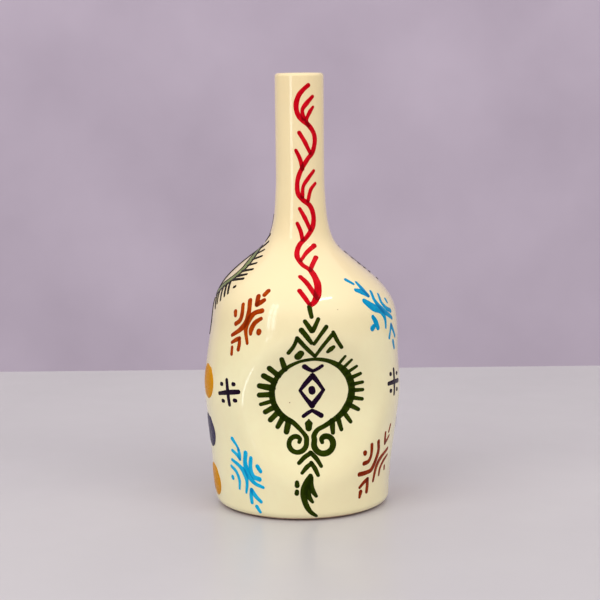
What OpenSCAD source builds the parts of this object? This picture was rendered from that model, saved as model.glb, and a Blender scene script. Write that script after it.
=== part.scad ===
// Hand-painted, two-sided dimple bottle vase in glazed earthenware.
// Origin: centre of the foot, on the surface that the vase stands on. +Z is up, and the
// painted front faces -Y, turned by face_turn about the vertical.

/* [Body] */
// Height of the vase from foot to lip, mm
vase_h = 260; // [250:1:280]
// Radius of the flat foot, mm
foot_r = 48; // [46:0.5:50]
// Radius of the rounded edge between foot and side, mm
foot_edge_r = 5.5; // [4.5:0.5:6]
// Outside radius of the neck, mm
neck_r = 14.6; // [14:0.1:16]
// Height where the straight neck starts, mm
neck_z = 196; // [190:1:205]
// Thickness of the wall with its glaze, mm
wall_t = 4; // [3.5:0.1:4.5]
// Thickness of the floor above the standing plane, mm
floor_t = 7; // [6:0.5:9]
// Radius of the shallow recess under the foot, mm
recess_r = 39; // [36:0.5:41]
// Depth of the recess under the foot, mm
recess_h = 2; // [1.5:0.1:2.5]

/* [Dimples] */
// Turn of the front dimple about the vertical, degrees
face_turn = 8; // [0:1:15]
// Height of the middle of each dimple, mm
dimple_z = 65; // [60:1:70]
// Distance from the axis to the floor of each dimple, mm
dimple_floor = 46; // [44:0.5:50]
// Vertical radius of each dimple's floor, mm
dimple_r = 93; // [85:1:110]
// Horizontal radius of each dimple's floor, mm
dimple_wide_r = 247; // [200:1:320]

/* [Coats] */
// Thickness of the glaze, mm
glaze_t = 0.5; // [0.4:0.1:0.7]
// Thickness of the painted enamel, mm
paint_t = 0.3; // [0.25:0.05:0.4]
// Height of the bare clay edge above the standing plane, mm
bare_h = 1.6; // [1.2:0.1:2]

/* [Painting] */
// Width of a vine stroke, mm
vine_w = 2.8; // [2:0.1:3.2]
// Width of a green stroke, mm
green_w = 2.2; // [1.8:0.1:2.6]
// Width of a star or cross stroke, mm
star_w = 2.2; // [1.6:0.1:2.4]
// Radius of the large dots on the sides, mm
side_dot_r = 10; // [8:0.5:11]
// Distance between the large dots on the sides, mm
side_dot_pitch = 31; // [28:0.5:33]

/* [Hidden] */
$fn = 64;
curve_steps = 4;
reach = 90;
mouth_r = neck_r - wall_t;
lip_r = wall_t / 2;
floor_edge_r = 8;
red = "#c8102a";
green = "#2c4208";
purple = "#241238";
brown = "#9c3a0c";
blue = "#1490cc";
ochre = "#d99200";
navy = "#3c3556";
olive = "#7d8a4b";
black = "#1c1a14";
cream = "#f5e4be";
clay = "#e0bfa6";

// Turns about the vertical, from the front, of each side's painting.
left_turn = -78;
right_turn = 117;
left_dots_turn = -75;
right_dots_turn = 100;

FRONT = ["front_vine", "front_crown", "front_medallion", "front_tail", "front_sign",
    "front_star_upper_left", "front_star_upper_right", "front_star_lower_left",
    "front_star_lower_right", "front_cross_left", "front_cross_right"];
BACK = ["back_vine", "back_crown", "back_medallion", "back_tail", "back_sign",
    "back_star_upper_left", "back_star_upper_right", "back_star_lower_left",
    "back_star_lower_right", "back_cross_left", "back_cross_right"];
SIDES = ["left_ring_band", "left_ring_outline", "left_ochre_dots", "left_navy_dot",
    "right_ring_band", "right_ring_outline", "right_ochre_dots", "right_navy_dot"];

// ---- Curves ----

// A point on the smooth curve that runs from b to c, with a and d as its neighbours.
function curve_point(a, b, c, d, t) =
    b + (c - a) * t / 2 + (a - 2.5 * b + 2 * c - d / 2) * pow(t, 2)
    + (1.5 * b - 1.5 * c + d / 2 - a / 2) * pow(t, 3);

// Point i of the line p, or a mirrored one beyond either end.
function neighbour(p, i) =
    i < 0 ? 2 * p[0] - p[1]
    : i >= len(p) ? 2 * p[len(p) - 1] - p[len(p) - 2]
    : p[i];

// A smooth curve through all the points of p.
function smooth(p, steps = curve_steps) = concat(
    [for (i = [0:len(p) - 2]) for (k = [0:steps - 1])
        curve_point(neighbour(p, i - 1), p[i], p[i + 1], neighbour(p, i + 2), k / steps)],
    [p[len(p) - 1]]);

// The unit normal of the line p at point i, on its right side.
function normal_at(p, i) =
    let (d = p[min(i + 1, len(p) - 1)] - p[max(i - 1, 0)])
    [d[1], -d[0]] / norm(d);

// The line p moved to its right by distance w.
function beside(p, w) = [for (i = [0:len(p) - 1]) p[i] + w * normal_at(p, i)];

// Points on an arc about centre c, with radii [across, up], from angle a to angle b.
function arc(c, radii, a, b, steps) = [for (k = [0:steps])
    let (t = a + (b - a) * k / steps) c + [radii[0] * cos(t), radii[1] * sin(t)]];

// ---- Outer form ----

// The rounded edge of the foot, from the standing plane up to the side.
foot_edge = arc([foot_r, foot_edge_r], [foot_edge_r, foot_edge_r], -90, -18, 4);

// Stations of the side, shoulder and foot of the neck, as [radius, height].
side_stations = [[foot_r + foot_edge_r, foot_edge_r], [54.2, 20], [56.8, 45], [59.5, 70],
    [58.4, 90], [56.6, 108], [54.2, 124], [46.2, 136.5], [33, 148], [21.5, 158],
    [16.3, 172], [neck_r, neck_z - 2]];

// The whole outside line: foot edge, side and shoulder, then the straight neck.
profile = concat(foot_edge, smooth(side_stations), [[neck_r, neck_z], [neck_r, vase_h - lip_r]]);

// The two hollows pressed into the front and back, widened by grow.
module dimple_cutters(grow) {
    for (turn = [0, 180])
        rotate([0, 0, face_turn + turn])
            translate([0, dimple_wide_r - dimple_floor, dimple_z])
                rotate_extrude()
                    translate([dimple_wide_r + dimple_r, 0])
                        circle(r = dimple_r + grow);
}

// A solid of revolution with dimples, whose surface lies grow outside the vase's own.
module form(grow) {
    outline = beside(profile, grow);
    difference() {
        rotate_extrude()
            polygon(concat([[0, 0]], outline, [[0, vase_h - lip_r]]));
        dimple_cutters(-grow);
    }
}

// The rounded lip's section, from the neck's outside to the mouth, inset by shrink.
module lip(shrink) {
    translate([0, 0, vase_h - lip_r])
        rotate_extrude()
            intersection() {
                translate([neck_r - lip_r, 0]) circle(r = lip_r - shrink);
                translate([mouth_r, 0]) square([wall_t, lip_r]);
            }
}

// ---- Clay and glaze ----

// The hollow inside, widened by grow towards the wall and floor.
module cavity(grow) {
    wall = [for (p = beside(profile, grow - wall_t)) if (p[1] > floor_t + floor_edge_r) p];
    bottom = floor_t - grow;
    corner = arc([wall[0][0] - floor_edge_r, bottom + floor_edge_r],
        [floor_edge_r, floor_edge_r], -90, -18, 4);
    difference() {
        rotate_extrude()
            polygon(concat([[0, bottom]], corner, wall,
                [[mouth_r + grow, vase_h + 1], [0, vase_h + 1]]));
        dimple_cutters(wall_t - grow);
    }
}

module clay_body() {
    color(clay)
        difference() {
            union() {
                form(-glaze_t);
                // The bare edge at the foot stands level with the glaze above it.
                intersection() {
                    form(0);
                    cylinder(r = reach, h = bare_h);
                }
                lip(glaze_t);
            }
            cavity(glaze_t);
            translate([0, 0, -1]) cylinder(r = recess_r, h = recess_h + 1);
        }
}

module glaze_coat() {
    color(cream)
        difference() {
            union() {
                difference() {
                    form(0);
                    cavity(glaze_t);
                }
                lip(0);
            }
            form(-glaze_t);
            lip(glaze_t);
            translate([0, 0, -1]) cylinder(r = reach, h = bare_h + 1);
        }
}

module glaze_lining() {
    color(cream)
        intersection() {
            difference() {
                cavity(glaze_t);
                cavity(0);
            }
            cylinder(r = reach, h = vase_h - lip_r);
        }
}

// ---- Strokes ----

// Points round the end of a stroke at centre c, from angle a to angle b.
function cap(c, r, a, b) = arc(c, [r, r], a, b, 4);

// The heading of the line p at point i, in degrees.
function heading(p, i) = let (n = normal_at(p, i)) atan2(n[0], -n[1]);

// A stroke of paint through the points p. w is its width, or a list of widths, one a point.
module stroke(p, w) {
    last = len(p) - 1;
    half = [for (i = [0:last]) (is_list(w) ? w[i] : w) / 2];
    start_turn = heading(p, 0);
    end_turn = heading(p, last);
    polygon(concat(
        cap(p[0], half[0], start_turn + 90, start_turn + 270),
        [for (i = [1:last - 1]) if (last > 1) p[i] + half[i] * normal_at(p, i)],
        cap(p[last], half[last], end_turn - 90, end_turn + 90),
        [for (i = [last - 1:-1:1]) if (last > 1) p[i] - half[i] * normal_at(p, i)]));
}

module dot(p, r) {
    translate(p) circle(r = r);
}

// Two straight strokes that meet at a tip.
module chevron(end_a, tip, end_b, w) {
    stroke([end_a, tip], w);
    stroke([tip, end_b], w);
}

// Turns a flat drawing into enamel on the glaze, facing outwards at a turn about the vertical.
// A drawing's first axis runs to the viewer's right and its second is the height.
module enamel(turn, paint) {
    color(paint)
        intersection() {
            difference() {
                form(paint_t);
                form(0);
            }
            rotate([90, 0, turn])
                linear_extrude(height = reach)
                    children();
        }
}

// ---- The painted faces ----

// Turning points of the vine's stem, from below the lip down to the shoulder.
stem_turns = [[3, 253], [-4, 240], [7, 221], [-4, 193], [6, 175], [-4.5, 154], [5, 138],
    [-1.5, 128]];

// The stem swings between its turning points along half waves.
stem = concat(
    [for (i = [0:len(stem_turns) - 2]) for (k = [0:5])
        let (a = stem_turns[i], b = stem_turns[i + 1])
        [(a[0] + b[0]) / 2 + (a[0] - b[0]) / 2 * cos(30 * k), a[1] + (b[1] - a[1]) * k / 6]],
    [stem_turns[len(stem_turns) - 1]]);

// Leaves of the vine as [tip, root]. They come in pairs, from either side in turn.
leaves = [
    [[6, 246], [-0.5, 234.5]], [[6, 240], [2, 233]],
    [[-2, 225], [4, 214]], [[-4, 214.5], [-0.5, 204.5]],
    [[6, 202], [-1, 188]], [[7, 194.5], [2.5, 186]],
    [[-2.5, 180], [3, 168.5]], [[-4, 171.5], [-1, 163]],
    [[5.5, 158.5], [-2, 151.5]], [[6.5, 152], [2, 148]],
    [[-4, 142.5], [0, 137.5]], [[-5.5, 135.5], [-3, 130]]];

module vine(turn) {
    enamel(turn, red) {
        stroke(stem, vine_w);
        for (leaf = leaves) stroke(leaf, vine_w * 0.8);
    }
}

// Stacked chevrons and a zigzag above the medallion, with a seed dot in each bay.
module crown(turn) {
    zigzag = [[-14.5, 100.5], [-10.5, 110], [1, 97.5], [10.5, 112.5], [16, 102.5]];
    enamel(turn, green) {
        stroke([[-2.2, 126], [-1.8, 121.5]], green_w);
        chevron([-5.5, 119], [-2, 114], [2, 120], green_w);
        chevron([-8, 114.5], [-1, 106], [6.5, 116], green_w);
        for (i = [0:len(zigzag) - 2]) stroke([zigzag[i], zigzag[i + 1]], green_w);
        dot([-8, 99.5], 2.4);
        dot([9.5, 102], 2.1);
    }
}

medallion_centre = [0.5, 76];
medallion_size = [23.5, 20.4];
spike_size = [30.3, 29.5];
scroll_left = [-9.8, 46.3];
scroll_right = [6.3, 45.8];

// A scroll that winds inwards about centre c from radius r and angle a, through sweep degrees.
function scroll(c, r, a, sweep) = [for (k = [0:14])
    let (s = k / 14, t = a + sweep * s)
    c + r * sqrt(1 - 0.96 * s * s) * [cos(t), sin(t)]];

function backwards(p) = [for (i = [len(p) - 1:-1:0]) p[i]];

// The ring runs from the left scroll over the top and down into the right scroll.
ring_arc = arc(medallion_centre, medallion_size, 236, -56, 18);
ring_ends = 16;
ring = concat(
    backwards(scroll(scroll_left, 5.6, 20, -370)), [[-6, 52.6]],
    ring_arc, [[3.4, 54]],
    scroll(scroll_right, 6.4, 155, 370));

// The ring's stroke is broad at its sides, and thin over the top and in the scrolls.
ring_w = concat(
    [for (k = [1:ring_ends]) green_w],
    [for (p = ring_arc) green_w + 1.5 * pow(abs(p[0] - medallion_centre[0]) / medallion_size[0], 2)],
    [for (k = [1:ring_ends]) green_w]);

module medallion(turn) {
    spikes = concat([for (k = [0:10]) 50 - 11.2 * k], [for (k = [0:9]) 135 + 10.4 * k]);
    enamel(turn, green) {
        stroke(ring, ring_w);
        for (a = spikes) {
            ray = [cos(a), sin(a)];
            inner = [medallion_size[0] * ray[0], medallion_size[1] * ray[1]];
            outer = [spike_size[0] * ray[0], spike_size[1] * ray[1]];
            stroke([medallion_centre + inner, medallion_centre + outer], green_w);
        }
    }
}

// A drop, two chevrons, a pair of dots and a curled leaf below the medallion.
module tail(turn) {
    enamel(turn, green) {
        polygon(concat([[-2.8, 60]], arc([-2.8, 55.6], [2.4, 2.6], 20, -200, 10)));
        chevron([-9.5, 35], [-2.5, 40.5], [3.5, 33], green_w);
        chevron([-8, 29.5], [-2.5, 34.5], [1.5, 27.5], green_w);
        dot([-10.8, 23], 1.5);
        dot([-10.9, 18], 1.5);
        polygon(smooth([[-2.6, 28.4], [-4.4, 26.4], [-7, 22.6], [-8.9, 17.4], [-8, 10.6], [-4.4, 5],
            [0.4, 2.4], [-2.2, 6.2], [-4.2, 11], [-4.8, 16], [-4.4, 21], [-3, 25.4]]));
        stroke([[-5.4, 21], [0, 16]], 1.8);
        stroke([[-5.6, 16], [-2, 12.4]], 1.8);
    }
}

// A lozenge with a centre dot, between two small chevrons.
module sign(turn) {
    middle = [0, 77];
    corners = [[6.5, 0], [0, 9], [-6.5, 0], [0, -9]];
    enamel(turn, purple) {
        for (i = [0:3]) stroke([middle + corners[i], middle + corners[(i + 1) % 4]], 2.4);
        dot(middle, 2);
        for (s = [-1, 1])
            chevron(middle + [-5, 15.5 * s], middle + [0, 12 * s], middle + [5, 15.5 * s], 2.2);
    }
}

// Two arcs back to back, an arc and a dot beside each, and a chevron and a dash at each end.
module star(turn, centre, tilt, paint) {
    inner = [[-9.5, 5.2], [-4, 1.5], [0, 0.8], [4, 1.5], [9.5, 5.2]];
    outer = [[-6, 9], [-2.5, 5.8], [2.5, 5.8], [6, 9]];
    enamel(turn, paint)
        translate(centre)
            rotate(tilt)
                for (s = [-1, 1]) {
                    stroke([for (p = inner) [p[0], s * p[1]]], star_w);
                    stroke([for (p = outer) [p[0], s * p[1]]], star_w * 0.9);
                    dot([0, 10.8 * s], 1.4);
                    chevron([15.5 * s, 3.6], [12 * s, 0], [15.5 * s, -3.6], star_w * 0.9);
                    stroke([[18 * s, 0], [21 * s, 0]], star_w * 0.9);
                }
}

// An upright cross with a dot in each corner.
module cross(turn, centre) {
    enamel(turn, purple)
        translate(centre) {
            stroke([[-8, -0.6], [8, 0.6]], star_w * 1.2);
            stroke([[0.3, 7.3], [-0.3, -7.3]], star_w * 1.2);
            for (x = [-5.4, 5.4], z = [-4.8, 4.8]) dot([x, z], 1.5);
        }
}

// ---- The painted sides ----

side_ring_centre = [0, 144];
// Half the width and half the height of the ring, along the middle of its band.
side_ring_size = [10, 12.6];
band_w = 3.6;
outline_w = 1.2;
side_spike_l = 6.5;
side_spike_w = 1.5;

// The space between two ovals, grown from the side ring's size by inner and by outer.
module oval_ring(inner, outer) {
    translate(side_ring_centre)
        difference() {
            scale(side_ring_size + [outer, outer]) circle(r = 1);
            scale(side_ring_size + [inner, inner]) circle(r = 1);
        }
}

module ring_band(turn) {
    enamel(turn, olive) oval_ring(-band_w / 2, band_w / 2);
}

module ring_outline(turn) {
    edge = band_w / 2;
    enamel(turn, black) {
        oval_ring(-edge - outline_w, -edge);
        oval_ring(edge, edge + outline_w);
        for (a = [0:15:345]) {
            ray = [cos(a), sin(a)];
            root = [for (k = [0, 1]) side_ring_centre[k] + (side_ring_size[k] + edge + outline_w / 2) * ray[k]];
            stroke([root, root + side_spike_l * ray], side_spike_w);
        }
    }
}

module ochre_dots(turn) {
    enamel(turn, ochre)
        for (k = [0, 2]) dot([0, 16 + side_dot_pitch * k], side_dot_r);
}

module navy_dot(turn) {
    enamel(turn, navy) dot([0, 16 + side_dot_pitch], side_dot_r);
}

// ---- Nodes ----

clay_body();
glaze_coat();
glaze_lining();

vine(face_turn);  // front_vine
crown(face_turn);  // front_crown
medallion(face_turn);  // front_medallion
tail(face_turn);  // front_tail
sign(face_turn);  // front_sign
star(face_turn - 44, [0, 117], 60, brown);  // front_star_upper_left
star(face_turn + 48, [0, 119], -57, blue);  // front_star_upper_right
star(face_turn - 46, [0, 26.5], -67, blue);  // front_star_lower_left
star(face_turn + 44, [0, 31], 57, brown);  // front_star_lower_right
cross(face_turn - 54, [0, 75.5]);  // front_cross_left
cross(face_turn + 58, [0, 77]);  // front_cross_right

vine(face_turn + 180);  // back_vine
crown(face_turn + 180);  // back_crown
medallion(face_turn + 180);  // back_medallion
tail(face_turn + 180);  // back_tail
sign(face_turn + 180);  // back_sign
star(face_turn + 180 - 44, [0, 117], 60, brown);  // back_star_upper_left
star(face_turn + 180 + 48, [0, 119], -57, blue);  // back_star_upper_right
star(face_turn + 180 - 46, [0, 26.5], -67, blue);  // back_star_lower_left
star(face_turn + 180 + 44, [0, 31], 57, brown);  // back_star_lower_right
cross(face_turn + 180 - 54, [0, 75.5]);  // back_cross_left
cross(face_turn + 180 + 58, [0, 77]);  // back_cross_right

ring_band(left_turn);  // left_ring_band
ring_outline(left_turn);  // left_ring_outline
ochre_dots(left_dots_turn);  // left_ochre_dots
navy_dot(left_dots_turn);  // left_navy_dot

ring_band(right_turn);  // right_ring_band
ring_outline(right_turn);  // right_ring_outline
ochre_dots(right_dots_turn);  // right_ochre_dots
navy_dot(right_dots_turn);  // right_navy_dot
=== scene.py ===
"""Hand-painted dimple bottle vase: ivory glaze over earthenware, with raised enamel brush strokes."""
import math

import bpy
import numpy as np
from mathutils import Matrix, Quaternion, Vector


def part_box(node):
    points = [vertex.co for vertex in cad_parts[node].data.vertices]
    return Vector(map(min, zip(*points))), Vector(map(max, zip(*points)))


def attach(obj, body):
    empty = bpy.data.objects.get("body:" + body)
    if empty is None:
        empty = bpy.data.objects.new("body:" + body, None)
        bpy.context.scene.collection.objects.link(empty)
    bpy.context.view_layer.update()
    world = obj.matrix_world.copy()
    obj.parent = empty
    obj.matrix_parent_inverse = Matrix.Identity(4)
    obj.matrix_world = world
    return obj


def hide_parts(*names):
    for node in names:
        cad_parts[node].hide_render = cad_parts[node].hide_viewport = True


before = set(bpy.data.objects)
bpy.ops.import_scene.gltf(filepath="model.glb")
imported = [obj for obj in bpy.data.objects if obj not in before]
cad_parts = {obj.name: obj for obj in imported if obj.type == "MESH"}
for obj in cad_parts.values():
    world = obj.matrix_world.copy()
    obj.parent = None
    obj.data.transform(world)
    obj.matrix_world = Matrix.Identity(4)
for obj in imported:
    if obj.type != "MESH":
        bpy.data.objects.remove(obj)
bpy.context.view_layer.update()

# ---- The form, in millimetres ----
MM = 0.001
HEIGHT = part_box("glaze_coat")[1].z / MM
FACE_TURN = 8.0          # the front dimple's azimuth; positive is the viewer's right
BARE_TOP = 1.6           # the glaze stops this far above the table
FOOT_R, FOOT_EDGE = 48.0, 5.5
RECESS_R, RECESS_H = 39.0, 2.0
WALL, LIP_R = 4.0, 2.0
NECK_Z = 194.0           # the straight neck starts here
FLOOR_Z = 7.0            # height of the floor inside

# Side, shoulder and root of the neck, as (radius, height).
STATIONS = [(53.3, 5.5), (54.3, 20), (56.8, 45), (59.6, 70), (58.3, 90), (56.6, 108), (54.0, 124),
            (46.2, 136.5), (33.2, 148), (21.5, 158), (16.4, 172), (14.6, 194)]

# The dimples in the front and the back are each a patch of a torus's inner side.
DIMPLE_Z = 65.0          # height of its middle
DIMPLE_FLOOR = 46.0      # distance of its middle from the axis
DIMPLE_TALL = 93.0       # radius of its curve up and down
DIMPLE_WIDE = 247.0      # radius of its curve across
DIMPLE_SOFT = 7.0        # how far its edge is rounded over
FAR = 1000.0             # a radius that nothing on the vase reaches

RING_Z = 144.0           # middle of the painted shoulder rings

# The body isn't quite straight: (sideways shift, height, spread).
LEAN = [(-0.9, 18, 14), (1.65, 114, 13), (-1.3, 145, 9)]
UNEVEN = 0.10            # height of the slow ripples left in the surface


def catmull(points, steps):
    """A smooth line through the points, with that many steps between two of them."""
    p = np.array(points, float)
    p = np.vstack([2 * p[0] - p[1], p, 2 * p[-1] - p[-2]])
    t = np.linspace(0, 1, steps, endpoint=False)[:, None]
    out = []
    for a, b, c, d in zip(p[:-3], p[1:-2], p[2:-1], p[3:]):
        out.append(b + (c - a) * t / 2 + (a - 2.5 * b + 2 * c - d / 2) * t ** 2
                   + (1.5 * b - 1.5 * c + d / 2 - a / 2) * t ** 3)
    out.append(p[-2:-1])
    return np.vstack(out)


def side_table():
    """Heights and radii of the side, evened out so that its reflections run smoothly."""
    line = catmull(STATIONS, 24)
    z = np.arange(FOOT_EDGE, HEIGHT + 10, 0.5)
    r = np.interp(z, line[:, 1], line[:, 0])
    reach, soft = 16, 5.0    # of the bell curve that evens it out, in steps of the table
    bell = np.exp(-0.5 * (np.arange(-reach, reach + 1) / soft) ** 2)
    bell /= bell.sum()
    even = np.convolve(np.pad(r, reach, mode="edge"), bell, mode="valid")
    share = np.clip((z - FOOT_EDGE) / 12, 0, 1)
    return z, r * (1 - share) + even * share


SIDE_Z, SIDE_R = side_table()
# Length of the side's outline up to each height.
SIDE_RUN = np.concatenate([[0], np.cumsum(np.hypot(np.diff(SIDE_Z), np.diff(SIDE_R)))])


def soft_min(a, b, k):
    """The smaller of a and b, rounded where they meet."""
    h = np.maximum(k - np.abs(a - b), 0) / k
    return np.minimum(a, b) - h ** 3 * k / 6


def dimple_radius(z, azimuth, centre):
    """Distance from the axis to a dimple's floor in the direction azimuth."""
    back = DIMPLE_WIDE - DIMPLE_FLOOR
    rise = np.maximum(DIMPLE_TALL ** 2 - (z - DIMPLE_Z) ** 2, 0)
    ring = DIMPLE_WIDE + DIMPLE_TALL - np.sqrt(rise)
    turn = np.radians(azimuth - centre)
    inner = np.maximum(ring ** 2 - (back * np.sin(turn)) ** 2, 0)
    reach = -back * np.cos(turn) + np.sqrt(inner)
    return np.where(np.cos(turn) > 0, reach, FAR)


def radius(z, azimuth):
    """Outside radius of the vase at a height and azimuth."""
    z = np.asarray(z, float)
    r = np.interp(z, SIDE_Z, SIDE_R)
    low = np.clip(FOOT_EDGE - z, 0, FOOT_EDGE)
    rolled = FOOT_R + np.sqrt(FOOT_EDGE ** 2 - low ** 2) + (r - FOOT_R - FOOT_EDGE)
    r = np.where(z < FOOT_EDGE, rolled, r)
    for centre in (FACE_TURN, FACE_TURN + 180):
        r = soft_min(r, dimple_radius(z, azimuth, centre), DIMPLE_SOFT)
    a = np.radians(azimuth)
    swell = np.sin(2 * a + z / 31) * np.cos(z / 17 + 1) + 0.6 * np.sin(3 * a - z / 23 + 2)
    return r + UNEVEN * swell * np.clip(r / 40, 0.2, 1)


def lean(z):
    """Sideways shift of the body at a height."""
    return sum(w * np.exp(-0.5 * ((z - h) / s) ** 2) for w, h, s in LEAN)


def surface(z, azimuth):
    """Point on the outside of the vase."""
    z, azimuth = np.broadcast_arrays(np.asarray(z, float), np.asarray(azimuth, float))
    a = np.radians(azimuth)
    r = radius(z, azimuth)
    return np.stack([r * np.sin(a) + lean(z), -r * np.cos(a), z], -1)


def normal(z, azimuth):
    """Outward unit normal of the vase's outside."""
    z = np.asarray(z, float)
    dz = surface(z + 0.4, azimuth) - surface(z - 0.4, azimuth)
    da = surface(z, azimuth + 0.5) - surface(z, azimuth - 0.5)
    n = np.cross(da, dz)
    return n / np.linalg.norm(n, axis=-1, keepdims=True)


def on_face(turn, x, z):
    """Height and azimuth of a flat drawing's point, x across and z up; the drawing faces a turn."""
    azimuth = np.full(np.shape(x), float(turn))
    for _ in range(8):
        r = radius(z, azimuth)
        azimuth = turn + np.degrees(np.arcsin(np.clip(x / r, -0.98, 0.98)))
    return z, azimuth


def on_shoulder(turn, x, rise):
    """Height and azimuth at x round the vase and rise up its slope, from a shoulder ring's middle."""
    start = np.interp(RING_Z, SIDE_Z, SIDE_RUN)
    z = np.interp(start + rise, SIDE_RUN, SIDE_Z)
    return z, turn + np.degrees(x / np.interp(z, SIDE_Z, SIDE_R))


# ---- Meshes ----

def make_object(name, verts, faces, smooth=True):
    """A mesh object in the scene, from points in millimetres."""
    mesh = bpy.data.meshes.new(name)
    mesh.from_pydata((np.asarray(verts) * MM).tolist(), [], faces)
    mesh.validate()
    mesh.update()
    mesh.polygons.foreach_set("use_smooth", [smooth] * len(mesh.polygons))
    obj = bpy.data.objects.new(name, mesh)
    bpy.context.collection.objects.link(obj)
    return obj


def turned(rings, bottom, top):
    """Vertices and faces of a closed form: rings of points, with a point at either end."""
    count = len(rings[0])
    verts = np.vstack([[bottom], *rings, [top]])
    faces = [(0, 1 + (k + 1) % count, 1 + k) for k in range(count)]
    for row in range(len(rings) - 1):
        a = 1 + row * count
        for k in range(count):
            n = (k + 1) % count
            faces.append((a + k, a + n, a + count + n, a + count + k))
    a = 1 + (len(rings) - 1) * count
    faces += [(a + k, a + (k + 1) % count, len(verts) - 1) for k in range(count)]
    return verts, faces


COLUMNS = 420
AROUND = np.arange(COLUMNS) * 360.0 / COLUMNS


def inset_ring(z, depth):
    """A ring of points that depth inside the outside surface."""
    return surface(z, AROUND) - depth * normal(z, AROUND)


def flat_ring(r, z):
    """A round ring about the body's axis at that height."""
    a = np.radians(AROUND)
    return np.stack([r * np.sin(a) + lean(z), -r * np.cos(a), np.full(COLUMNS, float(z))], -1)


def glaze_rows():
    """Rings of the glazed body, from the rolled edge near the table, over the lip and down inside."""
    roll = 0.25              # the glaze's lower edge is rounded by this much
    rows = [flat_ring(30, 2.3), inset_ring(2.3, 0.9), inset_ring(BARE_TOP + roll, 0.55)]
    rows += [inset_ring(BARE_TOP + roll - roll * math.sin(t), roll + roll * math.cos(t))
             for t in (0.5, 1.1, 1.7, 2.3)]
    rows += [surface(z, AROUND) for z in np.arange(BARE_TOP + 0.4, 6, 0.5)]
    rows += [surface(z, AROUND) for z in np.arange(6, NECK_Z, 1.0)]
    rows += [surface(z, AROUND) for z in np.linspace(NECK_Z, HEIGHT - LIP_R, 40)]
    centre_r = radius(HEIGHT - LIP_R, AROUND) - LIP_R
    a = np.radians(AROUND)
    for t in np.linspace(0, math.pi, 17)[1:]:
        r = centre_r + LIP_R * math.cos(t)
        z = np.full(COLUMNS, HEIGHT - LIP_R + LIP_R * math.sin(t))
        rows.append(np.stack([r * np.sin(a), -r * np.cos(a), z], -1))
    corner = 8               # radius between the inside wall and the floor
    corner_z = FLOOR_Z + corner
    rows += [inset_ring(z, WALL) for z in np.linspace(HEIGHT - LIP_R - 3, corner_z, 120)]
    inner = radius(corner_z, 90.0) - WALL
    for t in np.linspace(0, math.pi / 2, 9)[1:]:
        rows.append(flat_ring(inner - corner + corner * math.cos(t), corner_z - corner * math.sin(t)))
    rows += [flat_ring(r, FLOOR_Z) for r in (36, 24, 12, 4)]
    return rows


def clay_rows():
    """Rings of the bare foot: recess, standing ring and rounded edge."""
    inner, outer = 1.2, 0.6  # radii of the recess's upper and lower corners
    rows = [flat_ring(r, RECESS_H) for r in (10, 25, RECESS_R - inner)]
    rows += [flat_ring(RECESS_R - inner + inner * math.sin(t), RECESS_H - inner + inner * math.cos(t))
             for t in (0.5, 1.0, 1.5)]
    rows += [flat_ring(RECESS_R + outer - outer * math.cos(t), outer - outer * math.sin(t))
             for t in (0.4, 0.9, 1.5)]
    rows += [flat_ring(r, 0.0) for r in (41, 44, FOOT_R - 1)]
    rows += [inset_ring(z, 0.35) for z in (0.05, 0.2, 0.45, 0.8, 1.2, 1.6, 2.1)]
    rows += [flat_ring(r, 2.8) for r in (48, 30, 10)]
    for ring in rows:
        ring[:, 2] = np.maximum(ring[:, 2], 0)
    return rows


# ---- Brush strokes ----
TOP_STEPS = 9            # points across the crowned top of a stroke
SINK = 0.25              # a stroke's underside lies this far inside the glaze
EDGE_UP = 0.03           # a stroke's edge stands this far above the glaze
LAYER = 0.012            # later strokes lie this much higher, so that no two tops share a place
PAINT, BAND_PAINT, OUTLINE_PAINT, DOT_PAINT = 0.22, 0.14, 0.3, 0.5    # thickness of the enamel
rng = np.random.default_rng(7)


class Stroke:
    """One pull of the brush: a line on the vase with a width at each point."""

    def __init__(self, turn, points, widths, thick=PAINT, place=on_face):
        points = [tuple(p) for p in points]
        widths = np.broadcast_to(np.asarray(widths, float), (len(points),))
        if len(points) == 2:
            middle = tuple((np.array(points[0]) + points[1]) / 2)
            points = [points[0], middle, points[1]]
            widths = np.array([widths[0], widths.mean(), widths[1]])
        line = catmull(points, 12)
        wide = np.interp(np.linspace(0, 1, len(line)), np.linspace(0, 1, len(widths)), widths)
        z, azimuth = place(turn, line[:, 0], line[:, 1])
        gaps = np.linalg.norm(np.diff(surface(z, azimuth), axis=0), axis=1)
        flat = np.concatenate([[0], np.cumsum(gaps)])
        length = flat[-1] + (wide[0] + wide[-1]) * 0.36
        steps = max(int(length / 0.4), 10)
        # Points crowd towards the ends, where the stroke rounds off.
        even = np.linspace(0, 1, steps)
        along = (even * 0.85 + 0.15 * (1 - np.cos(np.pi * even)) / 2) * flat[-1]
        self.z = np.interp(along, flat, z)
        self.azimuth = np.interp(along, flat, azimuth)
        self.along = along
        self.length = flat[-1]
        wave = rng.uniform(0, 6.28, 3)
        wobble = sum(np.sin(along / s + w) for s, w in zip((1.3, 2.9, 5.3), wave))
        self.half = np.interp(along, flat, wide) / 2 * (1 + 0.025 * wobble)
        self.thick = thick
        self.tone = rng.uniform(0, 1)

    def frame(self):
        """Points, normals and sideways directions along the stroke."""
        p = surface(self.z, self.azimuth)
        n = normal(self.z, self.azimuth)
        d = np.gradient(p, axis=0)
        side = np.cross(d, n)
        side /= np.maximum(np.linalg.norm(side, axis=1, keepdims=True), 1e-9)
        d /= np.maximum(np.linalg.norm(d, axis=1, keepdims=True), 1e-9)
        return p, n, side, d


def land(points):
    """Moves points level with the axis onto the surface; returns height and azimuth."""
    z = points[..., 2]
    return z, np.degrees(np.arctan2(points[..., 0] - lean(z), -points[..., 1]))


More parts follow.
